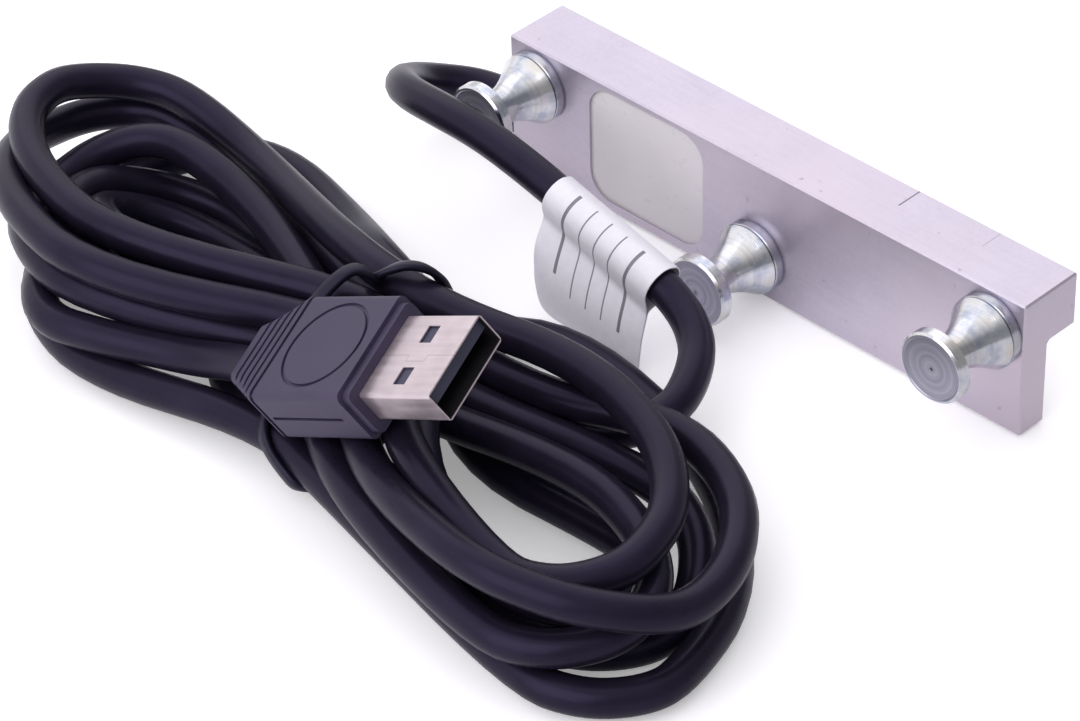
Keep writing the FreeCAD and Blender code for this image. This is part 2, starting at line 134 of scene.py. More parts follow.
def sums(tree, kind, first, second=None):
    made = addNode(tree, "Math", operation=kind)
    for socket, value in zip(made.inputs, (first, second)):
        if value is None:
            continue
        if isinstance(value, (int, float)):
            socket.default_value = value
        else:
            tree.links.new(value, socket)
    return made.outputs["Value"]


def weighted(tree, *terms):
    total = None
    for value, weight in terms:
        term = sums(tree, "MULTIPLY", value, weight)
        total = term if total is None else sums(tree, "ADD", total, term)
    return total


def hypot(tree, first, second):
    squares = (sums(tree, "MULTIPLY", value, value) for value in (first, second))
    return sums(tree, "SQRT", sums(tree, "ADD", *squares))


def within(tree, value, low, high):
    return sums(tree, "MULTIPLY", sums(tree, "GREATER_THAN", value, low), sums(tree, "LESS_THAN", value, high))


def near(tree, value, at, reach):
    return sums(tree, "LESS_THAN", sums(tree, "ABSOLUTE", sums(tree, "SUBTRACT", value, at)), reach)


def bump(tree, shader, height, strength, distance):
    made = addNode(tree, "Bump", {"Strength": strength, "Distance": distance})
    tree.links.new(height, made.inputs["Height"])
    tree.links.new(made.outputs["Normal"], shader.inputs["Normal"])


def parts(tree, vector):
    made = addNode(tree, "SeparateXYZ")
    tree.links.new(vector, made.inputs["Vector"])
    return made.outputs["X"], made.outputs["Y"], made.outputs["Z"]


def along(tree, vector, axis):
    made = addNode(tree, "VectorMath", {1: axis}, operation="DOT_PRODUCT")
    tree.links.new(vector, made.inputs[0])
    return made.outputs["Value"]


def dress(piece, material):
    piece.data.materials.clear()
    piece.data.materials.append(material)


# satin aluminium, milled along the bar, with two fine scribed marks on its top face (mm)
barFinish = {
    "dark": (0.55, 0.505, 0.60),
    "light": (0.66, 0.615, 0.72),
    "blush": (0.68, 0.59, 0.67),
    "pit": (0.30, 0.27, 0.32),
    "scored": (0.12, 0.11, 0.13),
    "metal": 0.76,
    "rough": (0.29, 0.42),
    "relief": (0.20, 0.00005),
    "streakScale": (90, 1900, 1900),
    "cloudScale": 95.0,
    "grainScale": 1900.0,
    "speckleScale": 5200.0,
    "blushScale": 34.0,
    "pitScale": 640.0,
    # each mark: place along the bar, its two ends across it, its half width and its strength
    "marks": ((18.2, 6.1, 10.3, 0.13, 0.9), (30.9, 6.6, 10.3, 0.10, 0.35)),
    "markCore": 0.4,
    "topFace": 19.2,
}


def milledAlloy(look):
    material, tree, shader = newMaterial("satinAlloy", look["light"], 0.36, look["metal"])
    links = tree.links
    spot = place(tree)
    streaks = noise(tree, place(tree, look["streakScale"]), 1.0, 4.0, 0.6)
    clouds = noise(tree, spot, look["cloudScale"], 4.0, 0.6)
    grain = noise(tree, spot, look["grainScale"], 3.0, 0.6)
    speckle = noise(tree, spot, look["speckleScale"], 2.0)
    mixed = weighted(tree, (streaks, 0.22), (clouds, 0.48), (grain, 0.30))
    colour = tones(tree, mixed, (0.34, look["dark"]), (0.64, look["light"]))
    blush = spread(tree, noise(tree, spot, look["blushScale"], 2.0), 0.42, 0.62, 0.0, 0.75)
    colour = blendColours(tree, blush, colour, look["blush"])
    pits = spread(tree, noise(tree, spot, look["pitScale"], 2.0, 0.4), 0.20, 0.27, 0.6, 0.0)
    colour = blendColours(tree, pits, colour, look["pit"])
    x, y, z = parts(tree, spot)
    onTop = sums(tree, "GREATER_THAN", z, look["topFace"] * mm)
    scored = None
    for at, start, end, wide, strength in look["marks"]:
        off = sums(tree, "ABSOLUTE", sums(tree, "SUBTRACT", x, at * mm))
        line = spread(tree, off, wide * look["markCore"] * mm, wide * mm, strength, 0.0)
        inside = sums(tree, "MULTIPLY", within(tree, y, start * mm, end * mm), onTop)
        line = sums(tree, "MULTIPLY", line, inside)
        scored = line if scored is None else sums(tree, "MAXIMUM", scored, line)
    links.new(blendColours(tree, scored, colour, look["scored"]), shader.inputs["Base Color"])
    rough = spread(tree, sums(tree, "ADD", clouds, grain), 0.7, 1.3, *look["rough"])
    links.new(rough, shader.inputs["Roughness"])
    height = weighted(tree, (streaks, 0.25), (speckle, 0.35))
    cut = sums(tree, "ADD", sums(tree, "MULTIPLY", scored, 3.0), pits)
    bump(tree, shader, sums(tree, "SUBTRACT", height, cut), *look["relief"])
    return material


dress(nodes["sensor_bar"], milledAlloy(barFinish))


# bright zinc on turned steel: rings round each post's own axis, blue and straw tints, and painted shade near the
# bar, round the neck and in the end face's centre (mm)
postFinish = {
    "steel": (0.76, 0.765, 0.80),
    "straw": (0.80, 0.765, 0.70),
    "blue": (0.52, 0.56, 0.67),
    "groove": (0.42, 0.42, 0.46),
    "shade": (0.22, 0.23, 0.29),
    "faceDark": (0.34, 0.335, 0.41),
    "faceLight": (0.475, 0.47, 0.55),
    "rough": (0.12, 0.26),
    "faceRough": 0.14,
    "relief": (0.16, 0.00006),
    "axes": {"post_left": (-37.5, 13.9), "post_centre": (0.0, 5.85), "post_right": (37.5, 13.9)},
    "ringPitch": 0.34,
    "ringBand": 0.75,
    "stainScale": 380.0,
    "grainScale": 3800.0,
    # painted shade, each as start, end and share, along Y or out from the axis: a contact shadow at the foot by the
    # bar, a darker reflection on the base band, shade round the neck under the head, and shade in the end face's
    # centre dimple
    "foot": (0.15, 0.5, 0.7),
    "band": (-0.95, -0.85, 0.46),
    "neck": (2.2, 3.4, 0.35),
    "dimple": (0.2, 0.36, 0.8),
    "endFace": (-9.95, -10.07),
    "faceEdge": (4.3, 4.4),
}


def turnedSteel(look, node):
    material, tree, shader = newMaterial("zinc_" + node, look["steel"], 0.25, 1.0)
    links = tree.links
    axisX, axisZ = look["axes"][node]
    x, y, z = parts(tree, place(tree, (1, 1, 1), (-axisX * mm, 0, -axisZ * mm)))
    radius = hypot(tree, x, z)
    travel = sums(tree, "ADD", radius, y)
    fine = sums(tree, "SINE", sums(tree, "MULTIPLY", travel, 2 * math.pi / (look["ringPitch"] * mm)))
    ringLook = {"Scale": 1.0 / (look["ringBand"] * mm), "Detail": 4.0, "Roughness": 0.65}
    rings = addNode(tree, "TexNoise", ringLook, noise_dimensions="1D")
    links.new(travel, rings.inputs["W"])
    bands = rings.outputs["Fac"]
    stain = noise(tree, place(tree), look["stainScale"], 4.0, 0.6)
    grain = noise(tree, place(tree), look["grainScale"], 2.0)
    colour = tones(tree, stain, (0.36, look["blue"]), (0.52, look["steel"]), (0.68, look["straw"]))
    colour = blendColours(tree, spread(tree, bands, 0.48, 0.70, 0.0, 0.45), colour, look["groove"])
    # painted shadow where the foot meets the bar, and a painted darker reflection over the base band
    for key in ("foot", "band"):
        start, end, share = look[key]
        shaded = spread(tree, y, start * mm, end * mm, 0.0, share)
        colour = blendColours(tree, shaded, colour, look["shade"])
    # the end face's own tone: darker than the rest of the post, with turned rings
    faceTone = tones(tree, bands, (0.38, look["faceDark"]), (0.62, look["faceLight"]))
    # painted shade round the neck under the head, and in the centre dimple of the end face
    neckShade, dimpleShade = (
        spread(tree, radius, inner * mm, outer * mm, share, 0.0)
        for inner, outer, share in (look["neck"], look["dimple"])
    )
    colour = blendColours(tree, neckShade, colour, look["shade"])
    faceTone = blendColours(tree, dimpleShade, faceTone, look["shade"])
    reached = spread(tree, y, *(value * mm for value in look["endFace"]), 0.0, 1.0)
    inside = spread(tree, radius, *(value * mm for value in look["faceEdge"]), 1.0, 0.0)
    face = sums(tree, "MULTIPLY", reached, inside)
    links.new(blendColours(tree, face, colour, faceTone), shader.inputs["Base Color"])
    rough = spread(tree, sums(tree, "ADD", bands, stain), 0.7, 1.3, *look["rough"])
    rough = sums(tree, "ADD", rough, sums(tree, "MULTIPLY", face, look["faceRough"]))
    links.new(rough, shader.inputs["Roughness"])
    bump(tree, shader, weighted(tree, (bands, 0.9), (fine, 0.12), (grain, 0.2)), *look["relief"])
    return material


# milky potting: pale in the middle, a thin painted shadow along its rim where it meets the pocket's wall (mm)
pottingFinish = {
    "milk": (0.73, 0.695, 0.72),
    "edgeShadow": (0.50, 0.49, 0.46),
    "rough": (0.26, 0.40),
    "relief": (0.05, 0.0002),
    "centre": (-18.7, 9.9),
    "size": (19.6, 16.9),
    "corner": 3.7,
    "edgeShadowWidth": (0.55, 0.05),
    "edgeShadowFade": (-7.0, 3.0, 1.0, 0.12),  # strong on the left, faint on the right
}


def milkyResin(look):
    gloss = {"Specular_IOR_Level": 0.45, "Coat_Weight": 0.15}
    material, tree, shader = newMaterial("milkyResin", look["milk"], 0.32, 0.0, **gloss)
    links = tree.links
    spot = place(tree)
    centreX, centreZ = look["centre"]
    x, _, z = parts(tree, place(tree, (1, 1, 1), (-centreX * mm, 0, -centreZ * mm)))
    past = []
    for value, size in zip((x, z), look["size"]):
        straight = (size / 2 - look["corner"]) * mm
        over = sums(tree, "SUBTRACT", sums(tree, "ABSOLUTE", value), straight)
        past.append(sums(tree, "MAXIMUM", over, 0.0))
    # painted shadow of the pocket's edge on the recessed potting: strongest on the left, faint on the right
    edgeShadowStart, edgeShadowEnd = ((look["corner"] - width) * mm for width in look["edgeShadowWidth"])
    edgeShadow = spread(tree, hypot(tree, *past), edgeShadowStart, edgeShadowEnd, 0.0, 0.9)
    start, end, strong, faint = look["edgeShadowFade"]
    edgeShadow = sums(tree, "MULTIPLY", edgeShadow, spread(tree, x, start * mm, end * mm, strong, faint))
    cloudy = tuple(c * 0.95 for c in look["milk"])
    milk = tones(tree, noise(tree, spot, 130.0, 3.0), (0.3, cloudy), (0.7, look["milk"]))
    links.new(blendColours(tree, edgeShadow, milk, look["edgeShadow"]), shader.inputs["Base Color"])
    links.new(spread(tree, noise(tree, spot, 600.0, 3.0), 0.3, 0.7, *look["rough"]), shader.inputs["Roughness"])
    bump(tree, shader, noise(tree, spot, 180.0, 1.0, 0.3), *look["relief"])
    return material


dress(nodes["pocket_potting"], milkyResin(pottingFinish))
print("bar and potting dressed")


# moulded plastics share a fine spark-eroded grain
def mouldedPlastic(name, dark, light, rough, grainSize, depth, specular=0.5, sheen=(1.0, 1.0, 1.0)):
    gloss = {"Specular_IOR_Level": specular, "Specular_Tint": (*sheen, 1.0)}
    material, tree, shader = newMaterial(name, light, rough[0], 0.0, **gloss)
    patches = noise(tree, place(tree), 160.0, 3.0, 0.6)
    grain = noise(tree, place(tree), 1.0 / (grainSize * mm), 3.0, 0.65)
    tree.links.new(tones(tree, patches, (0.3, dark), (0.7, light)), shader.inputs["Base Color"])
    mixed = weighted(tree, (patches, 0.6), (grain, 0.4))
    tree.links.new(spread(tree, mixed, 0.35, 0.65, *rough), shader.inputs["Roughness"])
    bump(tree, shader, grain, depth, 0.00005)
    return material


def platedMetal(name, dark, light, rough, depth, streakScale=(200, 1500, 1500)):
    material, tree, shader = newMaterial(name, light, rough[0], 1.0)
    streaks = noise(tree, place(tree, streakScale), 1.0, 4.0, 0.6)
    smudge = noise(tree, place(tree), 240.0, 3.0)
    mixed = weighted(tree, (streaks, 0.5), (smudge, 0.5))
    tree.links.new(tones(tree, mixed, (0.36, dark), (0.62, light)), shader.inputs["Base Color"])
    tree.links.new(spread(tree, mixed, 0.35, 0.65, *rough), shader.inputs["Roughness"])
    bump(tree, shader, streaks, depth, 0.00004)
    return material


# nickel shell in the plug's own axes: drawn along its length, a dovetailed seam on top, rougher inside and painted
# near-black there as shade (mm)
shellFinish = {
    "dark": (0.56, 0.475, 0.505),
    "light": (0.69, 0.595, 0.63),
    # near-black painted shade for the inside of the shell's hollow
    "inside": (0.035, 0.032, 0.038),
    "seamTone": (0.26, 0.21, 0.22),
    "seamShare": 0.45,
    "metal": 0.82,
    "rough": (0.28, 0.42),
    "insideRough": 0.25,
    "relief": (0.05, 0.00004),
    "streakScale": (90, 1300, 1300),
    "nose": (11.1, -59.9, 28.3),
    "axes": ((-0.897, -0.057, -0.437), (0.225, -0.912, -0.342), (-0.38, -0.405, 0.832)),
    "shadedHollow": (5.8, 2.05),
    "seam": (4.4, 7.6, 0.9, 0.06),  # where its jog starts and ends, how far it steps, half its width
}


def shellNickel(look):
    material, tree, shader = newMaterial("plugNickel", look["light"], 0.3, look["metal"])
    links = tree.links
    spot = place(tree, (1, 1, 1), tuple(-value * mm for value in look["nose"]))
    back, wide, high = (along(tree, spot, axis) for axis in look["axes"])
    drawn = addNode(tree, "CombineXYZ")
    for socket, value, scale in zip(drawn.inputs, (back, wide, high), look["streakScale"]):
        links.new(sums(tree, "MULTIPLY", value, scale), socket)
    streaks = noise(tree, drawn.outputs["Vector"], 1.0, 2.0, 0.5)
    smudge = noise(tree, place(tree), 240.0, 3.0)
    mixed = weighted(tree, (streaks, 0.4), (smudge, 0.6))
    colour = tones(tree, mixed, (0.36, look["dark"]), (0.60, look["light"]))
    start, end, jog, thin = (value * mm for value in look["seam"])
    stepped = sums(tree, "MULTIPLY", within(tree, back, start, end), jog)
    seam = near(tree, wide, stepped, thin)
    beside = within(tree, wide, 0.0, jog)
    for at in (start, end):
        across = sums(tree, "MULTIPLY", near(tree, back, at, thin), beside)
        seam = sums(tree, "MAXIMUM", seam, across)
    hollowWide, hollowHigh = (half * mm for half in look["shadedHollow"])
    seam = sums(tree, "MULTIPLY", seam, sums(tree, "GREATER_THAN", high, hollowHigh))
    colour = blendColours(tree, sums(tree, "MULTIPLY", seam, look["seamShare"]), colour, look["seamTone"])
    # painted shade inside the shell's hollow: its walls turn near-black and rougher
    shadedHollow = sums(tree, "MULTIPLY", near(tree, wide, 0.0, hollowWide), near(tree, high, 0.0, hollowHigh))
    links.new(blendColours(tree, shadedHollow, colour, look["inside"]), shader.inputs["Base Color"])
    rough = spread(tree, mixed, 0.35, 0.65, *look["rough"])
    rough = sums(tree, "ADD", rough, sums(tree, "MULTIPLY", shadedHollow, look["insideRough"]))
    links.new(rough, shader.inputs["Roughness"])
    bump(tree, shader, streaks, *look["relief"])
    return material


jacket = mouldedPlastic(
    "cableJacket", dark=(0.0100, 0.0078, 0.0165), light=(0.0145, 0.0115, 0.0235), rough=(0.26, 0.36),
    grainSize=0.16, depth=0.08, specular=0.24, sheen=(0.66, 0.58, 1.0),
)
overmouldPlastic = mouldedPlastic(
    "plugBody", dark=(0.036, 0.029, 0.060), light=(0.049, 0.040, 0.078), rough=(0.46, 0.60),
    grainSize=0.10, depth=0.22, specular=0.42, sheen=(0.95, 0.88, 1.0),
)
bootRubber = mouldedPlastic(
    "bootRubber", dark=(0.012, 0.011, 0.016), light=(0.020, 0.018, 0.026), rough=(0.50, 0.66),
    grainSize=0.14, depth=0.2,
)
tiePlastic = mouldedPlastic(
    "tieCoating", dark=(0.005, 0.0045, 0.010), light=(0.009, 0.008, 0.016), rough=(0.30, 0.42),
    grainSize=0.12, depth=0.10, specular=0.36, sheen=(0.72, 0.65, 1.0),
)
tonguePlastic = mouldedPlastic(
    "tonguePlastic", dark=(0.026, 0.027, 0.056), light=(0.038, 0.039, 0.078), rough=(0.40, 0.52),
    grainSize=0.1, depth=0.12,
)
boardLaminate = mouldedPlastic(
    "boardLaminate", dark=(0.02, 0.16, 0.06), light=(0.03, 0.22, 0.09), rough=(0.35, 0.5),
    grainSize=0.12, depth=0.15,
)
chipEpoxy = mouldedPlastic(
    "chipEpoxy", dark=(0.015, 0.015, 0.016), light=(0.028, 0.028, 0.03), rough=(0.5, 0.65),
    grainSize=0.08, depth=0.2,
)
gaugeFoil = mouldedPlastic(
    "gaugeFoil", dark=(0.50, 0.29, 0.08), light=(0.62, 0.38, 0.13), rough=(0.3, 0.42),
    grainSize=0.1, depth=0.15,
)
capacitorBody = mouldedPlastic(
    "capacitorBody", dark=(0.32, 0.21, 0.12), light=(0.42, 0.29, 0.18), rough=(0.45, 0.6),
    grainSize=0.08, depth=0.15,
)
coreJacket = mouldedPlastic(
    "coreJacket", dark=(0.36, 0.03, 0.02), light=(0.46, 0.05, 0.035), rough=(0.35, 0.5),
    grainSize=0.12, depth=0.12,
)
crystalSteel = platedMetal(
    "crystalCan", dark=(0.5, 0.5, 0.5), light=(0.66, 0.66, 0.66), rough=(0.22, 0.34), depth=0.12,
)
contactGold = platedMetal(
    "contactGold", dark=(0.66, 0.45, 0.16), light=(0.80, 0.58, 0.24), rough=(0.2, 0.3), depth=0.1,
)

finishes = {
    "cable_boot": bootRubber,
    "plug_overmould": overmouldPlastic,
    "plug_shell": shellNickel(shellFinish),
    "plug_tongue": tonguePlastic,
    "gauge_upper": gaugeFoil,
    "gauge_lower": gaugeFoil,
    "signal_board": boardLaminate,
    "converter_chip": chipEpoxy,
    "amplifier_chip": chipEpoxy,
    "clock_crystal": crystalSteel,
    "board_capacitors": capacitorBody,
    "cable_cores": coreJacket,
}
for nodeName, finish in finishes.items():
    dress(nodes[nodeName], finish)
plugContacts = [nodes["plug_contact_%d" % k] for k in (1, 2, 3, 4)]
for contact in plugContacts:
    dress(contact, contactGold)
print("plug, boot and inner pieces dressed")

# the cable: lead, twelve turns' ends wound into a hank, and the tail to the plug (mm)
cableRun = {
    "diameter": 4.6,
    "length": 1.85,
    "lead": (
        (-46.5, 5.5, 4.8), (-48.8, 5.5, 4.8), (-52.6, 4.1, 5.2), (-55.0, 0.3, 6.6), (-55.2, -4.9, 9.4),
        (-52.2, -9.7, 12.6), (-46.8, -13.0, 15.0), (-40.0, -14.4, 16.5), (-32.4, -14.9, 17.0),
        (-24.0, -15.5, 16.3), (-14.5, -16.0, 14.5), (-5.0, -16.2, 12.0), (3.4, -16.6, 9.6),
        (9.2, -19.4, 8.1), (13.0, -24.8, 7.3),
    ),
    "entry": (
        (14.6, -30.2, 6.4), (12.3, -36.7, 5.7), (3.0, -41.7, 6.0), (-16.9, -35.2, 2.4),
        (-29.1, -50.5, 3.2),
    ),
    # each turn's end: a shoulder, the tip, the other shoulder, and the run through the waist
    "ends": (
        ((-51.5, -56.2, 12.3), (-64.4, -47.8, 6.9), (-53.1, -39.5, 2.4), (
            (-26.7, -43.0, 6.6), (-5.9, -47.8, 8.7),
        )),
        ((21.3, -40.6, 7.3), (38.5, -55.5, 2.4), (24.2, -67.5, 2.4), (
            (-8.4, -58.9, 2.4), (-21.5, -52.3, 3.5),
        )),
        ((-52.2, -61.3, 10.9), (-69.0, -47.3, 8.4), (-57.2, -35.0, 2.9), (
            (-50.9, -36.1, 2.4), (-28.0, -36.4, 3.4), (-19.9, -34.5, 2.4),
        )),
        ((-7.9, -23.4, 2.7), (44.5, -60.3, 2.4), (31.0, -72.6, 2.4), (
            (-7.0, -65.3, 4.4), (-20.4, -63.2, 5.4),
        )),
        ((-46.2, -68.5, 2.4), (-70.0, -50.1, 2.4), None, (
            (-70.3, -49.5, 2.4), (-74.0, -38.4, 2.4), (-71.3, -27.5, 2.4), (-61.2, -21.9, 2.5),
            (-44.5, -26.2, 3.0), (-28.2, -35.3, 10.0), (-17.6, -36.9, 7.5), (-2.0, -49.5, 2.4),
        )),
        ((22.9, -47.2, 2.4), (34.3, -57.4, 5.0), (22.0, -67.6, 8.0), (
            (1.9, -61.1, 10.8), (-12.0, -40.9, 12.9),
        )),
        ((-49.9, -60.0, 15.2), (-81.8, -43.0, 15.1), (-70.5, -29.8, 11.8), (
            (-56.0, -30.0, 8.4), (-26.3, -41.6, 15.2), (-10.7, -41.8, 14.7),
        )),
        ((7.3, -37.9, 15.1), (35.8, -57.4, 13.4), (24.5, -69.0, 11.8), (
            (2.2, -63.8, 16.2), (-15.2, -45.8, 11.5),
        )),
        ((-46.0, -67.0, 15.6), (-82.5, -42.6, 8.2), (-72.4, -30.1, 7.6), (
            (-58.9, -28.4, 3.4), (-27.0, -41.4, 10.7), (2.8, -42.7, 10.1),
        )),
        ((19.9, -34.8, 10.8), (43.8, -57.2, 10.2), (22.4, -73.3, 15.3), (
            (-1.5, -66.5, 12.7), (-16.2, -50.1, 8.9),
        )),
        ((-49.5, -66.4, 10.8), (-73.7, -49.2, 7.4), (-63.3, -37.0, 11.7), (
            (-46.5, -38.3, 9.6), (-21.6, -48.8, 9.5), (-12.7, -51.5, 6.6),
        )),
        ((16.2, -47.9, 9.8), (38.9, -61.5, 8.0), (26.0, -73.7, 6.8), (
            (-1.5, -68.6, 9.1),
        )),
    ),
    "tail": (
        (-16.3, -58.9, 8.6), (-26.7, -60.2, 2.4), (-35.7, -57.3, 2.4), (-46.0, -43.5, 2.4),
        (-60.7, -46.7, 3.5), (-63.8, -60.6, 6.3), (-54.9, -69.2, 6.5), (-45.0, -66.8, 7.2),
        (-39.6, -64.6, 7.3), (-33.0, -62.6, 8.0), (-26.8, -61.6, 10.0), (-21.5, -62.0, 12.4),
    ),
    "turnSteps": (0, 35, 65),
}


def turnPoints(shoulder, tip, steps):
    made = []
    for step in steps:
        out, left = math.sin(math.radians(step)), math.cos(math.radians(step))
        x = shoulder[0] + (tip[0] - shoulder[0]) * out
        y, z = (tip[k] + (shoulder[k] - tip[k]) * left for k in (1, 2))
        made.append((x, y, z))
    return made


def cablePoints(run):
    points = list(run["lead"]) + list(run["entry"])
    for before, tip, after, waist in run["ends"]:
        points += turnPoints(before, tip, run["turnSteps"])
        points.append(tip)
        if after:
            points += turnPoints(after, tip, run["turnSteps"])[::-1]
        points += waist
    return points + list(run["tail"])


def smoothLine(name, points):
    line = bpy.data.curves.new(name, "CURVE")
    line.dimensions = "3D"
    spline = line.splines.new("NURBS")
    spline.points.add(len(points) - 1)
    for point, spot in zip(spline.points, points):
        point.co = (*(value * mm for value in spot), 1.0)
    spline.order_u = 3
    spline.use_endpoint_u = True
    piece = bpy.data.objects.new(name, line)
    bpy.context.collection.objects.link(piece)
    return piece


def pickOnly(piece):
    bpy.ops.object.select_all(action="DESELECT")
    piece.select_set(True)
    bpy.context.view_layer.objects.active = piece


cable = smoothLine("sensorCable", cablePoints(cableRun))
cable.data.resolution_u = 6
cable.data.bevel_depth = cableRun["diameter"] / 2 * mm
cable.data.bevel_resolution = 5
cable.data.use_fill_caps = True
dress(cable, jacket)
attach(cable, "root")
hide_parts("cable_lead", "cable_hank", "cable_tail")
print("cable wound with", len(cable.data.splines[0].points), "points")

# paper label: a loose sleeve round the lead, its two ends stuck together as a hanging flag (mm)
labelPaper = {
    "left": (-17.8, -15.85, 15.1),
    "right": (0.4, -16.5, 10.5),
    "drop": (1.0, -5.3, -11.85),
    "shortSide": 0.70,
    "sleeve": 2.62,
    "slack": 0.30,
    "neck": 1.42,
    "rise": 0.8,
    "paper": 0.16,
    "curl": 0.9,
    "curlReach": 1.1,
    "curlFade": 0.6,
    "across": 14,
    "corner": 4.2,
    "white": (0.85, 0.835, 0.91),
    "shadow": 0.94,
    "rule": (0.22, 0.21, 0.25),
    "rough": (0.44, 0.60),
    "relief": (0.1, 0.00005),
    # each printed rule: its place along the label, half its width, its two ends
    "rules": (
        (0.20, 0.013, 0.12, 0.47), (0.36, 0.0055, 0.09, 0.47), (0.50, 0.0055, 0.09, 0.47),
        (0.64, 0.0055, 0.09, 0.47), (0.80, 0.013, 0.09, 0.47),
    ),
}


def labelProfile(look):
    # front layer from the flag's foot up, half round the cable: (down, out, share of the flag)
    r, flat = look["sleeve"], look["paper"] * 0.62
    hang = [(0.0, flat, share) for share in (1.0, 0.92, 0.8, 0.66, 0.52, 0.38, 0.25, 0.12)]
    neck = [(r * look["neck"], flat * 1.4, 0.0), (r * 1.20, r * 0.20, 0.0), (r * 0.98, r * 0.46, 0.0)]
    angles = (math.radians(step) for step in range(44, 180, 17))
    ring = [(r * math.cos(angle), r * math.sin(angle), 0.0) for angle in angles]
    half = hang + neck + ring
    return half + [(below, -out, share) for below, out, share in half[::-1]]


def foldLabel(look):
    left, right, drop = (Vector(look[key]) for key in ("left", "right", "drop"))
    lead = (right - left).normalized()
    down = (drop - lead * drop.dot(lead)).normalized()
    out = down.cross(lead)
    profile = labelProfile(look)
    rows = len(profile) - 1
    bpy.ops.object.select_all(action="DESELECT")
    bpy.ops.mesh.primitive_grid_add(x_subdivisions=look["across"], y_subdivisions=rows, size=1.0)
    piece = bpy.context.object
    piece.name = "cableLabel"
    for vertex in piece.data.vertices:
        u = vertex.co.x + 0.5
        below, side, share = profile[round((vertex.co.y + 0.5) * rows)]
        spot = left.lerp(right, u)
        if share > 0.0:
            length = 1.0 - (1.0 - look["shortSide"]) * u
            edge = max(0.0, 1.0 - u * (right - left).length / look["corner"])
            length -= look["corner"] / drop.length * (1.0 - math.sqrt(1.0 - edge * edge))
            bow = look["curl"] * math.sin(math.pi * min(1.0, share * look["curlReach"]))
            bow *= 1.0 - look["curlFade"] * u
            spot = spot + down * look["sleeve"] * look["neck"]
            spot = spot + (drop - down * look["sleeve"] * look["rise"]) * share * length
            spot = spot + out * (side + bow)
        else:
            looser = 1.0 + look["slack"] / look["sleeve"] * u
            spot = spot + (down * below + out * side) * looser
        vertex.co = spot * mm
    steps = {
        "SUBSURF": {"levels": 2, "render_levels": 2},
        "SOLIDIFY": {"thickness": look["paper"] * mm, "offset": 0.0},
    }
    for kind, settings in steps.items():
        step = piece.modifiers.new(kind.lower(), kind)
        for key, value in settings.items():
            setattr(step, key, value)
        bpy.ops.object.modifier_apply(modifier=step.name)
    bpy.ops.object.shade_smooth_by_angle(angle=math.radians(40))
    return piece


def labelPrint(look):
    material, tree, shader = newMaterial("labelPaper", look["white"], 0.52, 0.0, Specular_IOR_Level=0.4)
    coords = addNode(tree, "UVMap")
    u, v, _ = parts(tree, coords.outputs["UV"])
    inked = None
    for at, wide, start, end in look["rules"]:
        line = sums(tree, "MULTIPLY", near(tree, u, at, wide), within(tree, v, start, end))
        inked = line if inked is None else sums(tree, "MAXIMUM", inked, line)
    fibre = noise(tree, place(tree), 900.0, 4.0, 0.6)
    grey = tuple(c * look["shadow"] for c in look["white"])
    paper = tones(tree, fibre, (0.3, grey), (0.7, look["white"]))
    tree.links.new(blendColours(tree, inked, paper, look["rule"]), shader.inputs["Base Color"])
    tree.links.new(spread(tree, fibre, 0.3, 0.7, *look["rough"]), shader.inputs["Roughness"])
    bump(tree, shader, fibre, *look["relief"])
    return material


label = foldLabel(labelPaper)
dress(label, labelPrint(labelPaper))
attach(label, "root")
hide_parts("label_flag")
print("label folded")

# flat coated wire round the hank's waist: under the turns, over the front ones, its ends curled on top (mm)
tieWire = {
    "wide": 2.0,
    "thick": 1.05,
    "around": 12,
    "squareness": 0.7,
    "endRows": 2.0,
    "endSize": 0.3,
    "core": (0, -48.0, 7.0),
    "path": (
        (-20.5, -44.4, 15.6), (-20.3, -44.6, 16.4), (-19.3, -44.6, 17.5), (-18.1, -43.9, 18.6), (-16.7, -42.5, 19.2),
        (-15.2, -40.9, 18.7), (-14.4, -39.2, 16.6), (-15.0, -37.6, 13.0), (-15.8, -35.4, 9.4), (-16.8, -32.6, 6.2),
        (-17.6, -29.6, 4.4), (-18.0, -29.0, 2.2), (-17.8, -30.4, 0.8), (-16.5, -36.0, 0.75), (-13.0, -50.0, 0.75),
        (-11.0, -60.0, 0.9), (-10.5, -64.6, 1.7), (-11.1, -66.9, 2.7), (-13.5, -67.0, 4.2), (-16.1, -66.6, 5.4),
        (-17.8, -65.9, 6.9), (-19.4, -63.6, 8.0), (-20.4, -60.6, 8.9), (-21.0, -57.8, 10.0), (-21.6, -56.4, 12.0),
        (-22.0, -55.2, 14.2), (-22.2, -53.2, 15.9), (-22.3, -51.6, 16.6), (-22.1, -50.0, 17.6), (-21.6, -48.2, 18.6),
        (-21.0, -46.9, 18.9), (-20.2, -46.1, 18.4), (-19.8, -45.2, 17.2), (-20.1, -44.5, 15.6),
    ),
}


def curveSamples(points):
    guide = smoothLine("guide", points)
    guide.data.resolution_u = 6
    pickOnly(guide)
    bpy.ops.object.convert(target="MESH")
    samples = [vertex.co.copy() for vertex in guide.data.vertices]
    bpy.ops.object.delete()
    return samples


def signedVolume(piece):
    piece.data.calc_loop_triangles()
    spots = [vertex.co for vertex in piece.data.vertices]
    corners = ([spots[k] for k in triangle.vertices] for triangle in piece.data.loop_triangles)
    return sum(a.dot(b.cross(c)) for a, b, c in corners) / 6


def flattened(value, power):
    return math.copysign(abs(value) ** power, value)


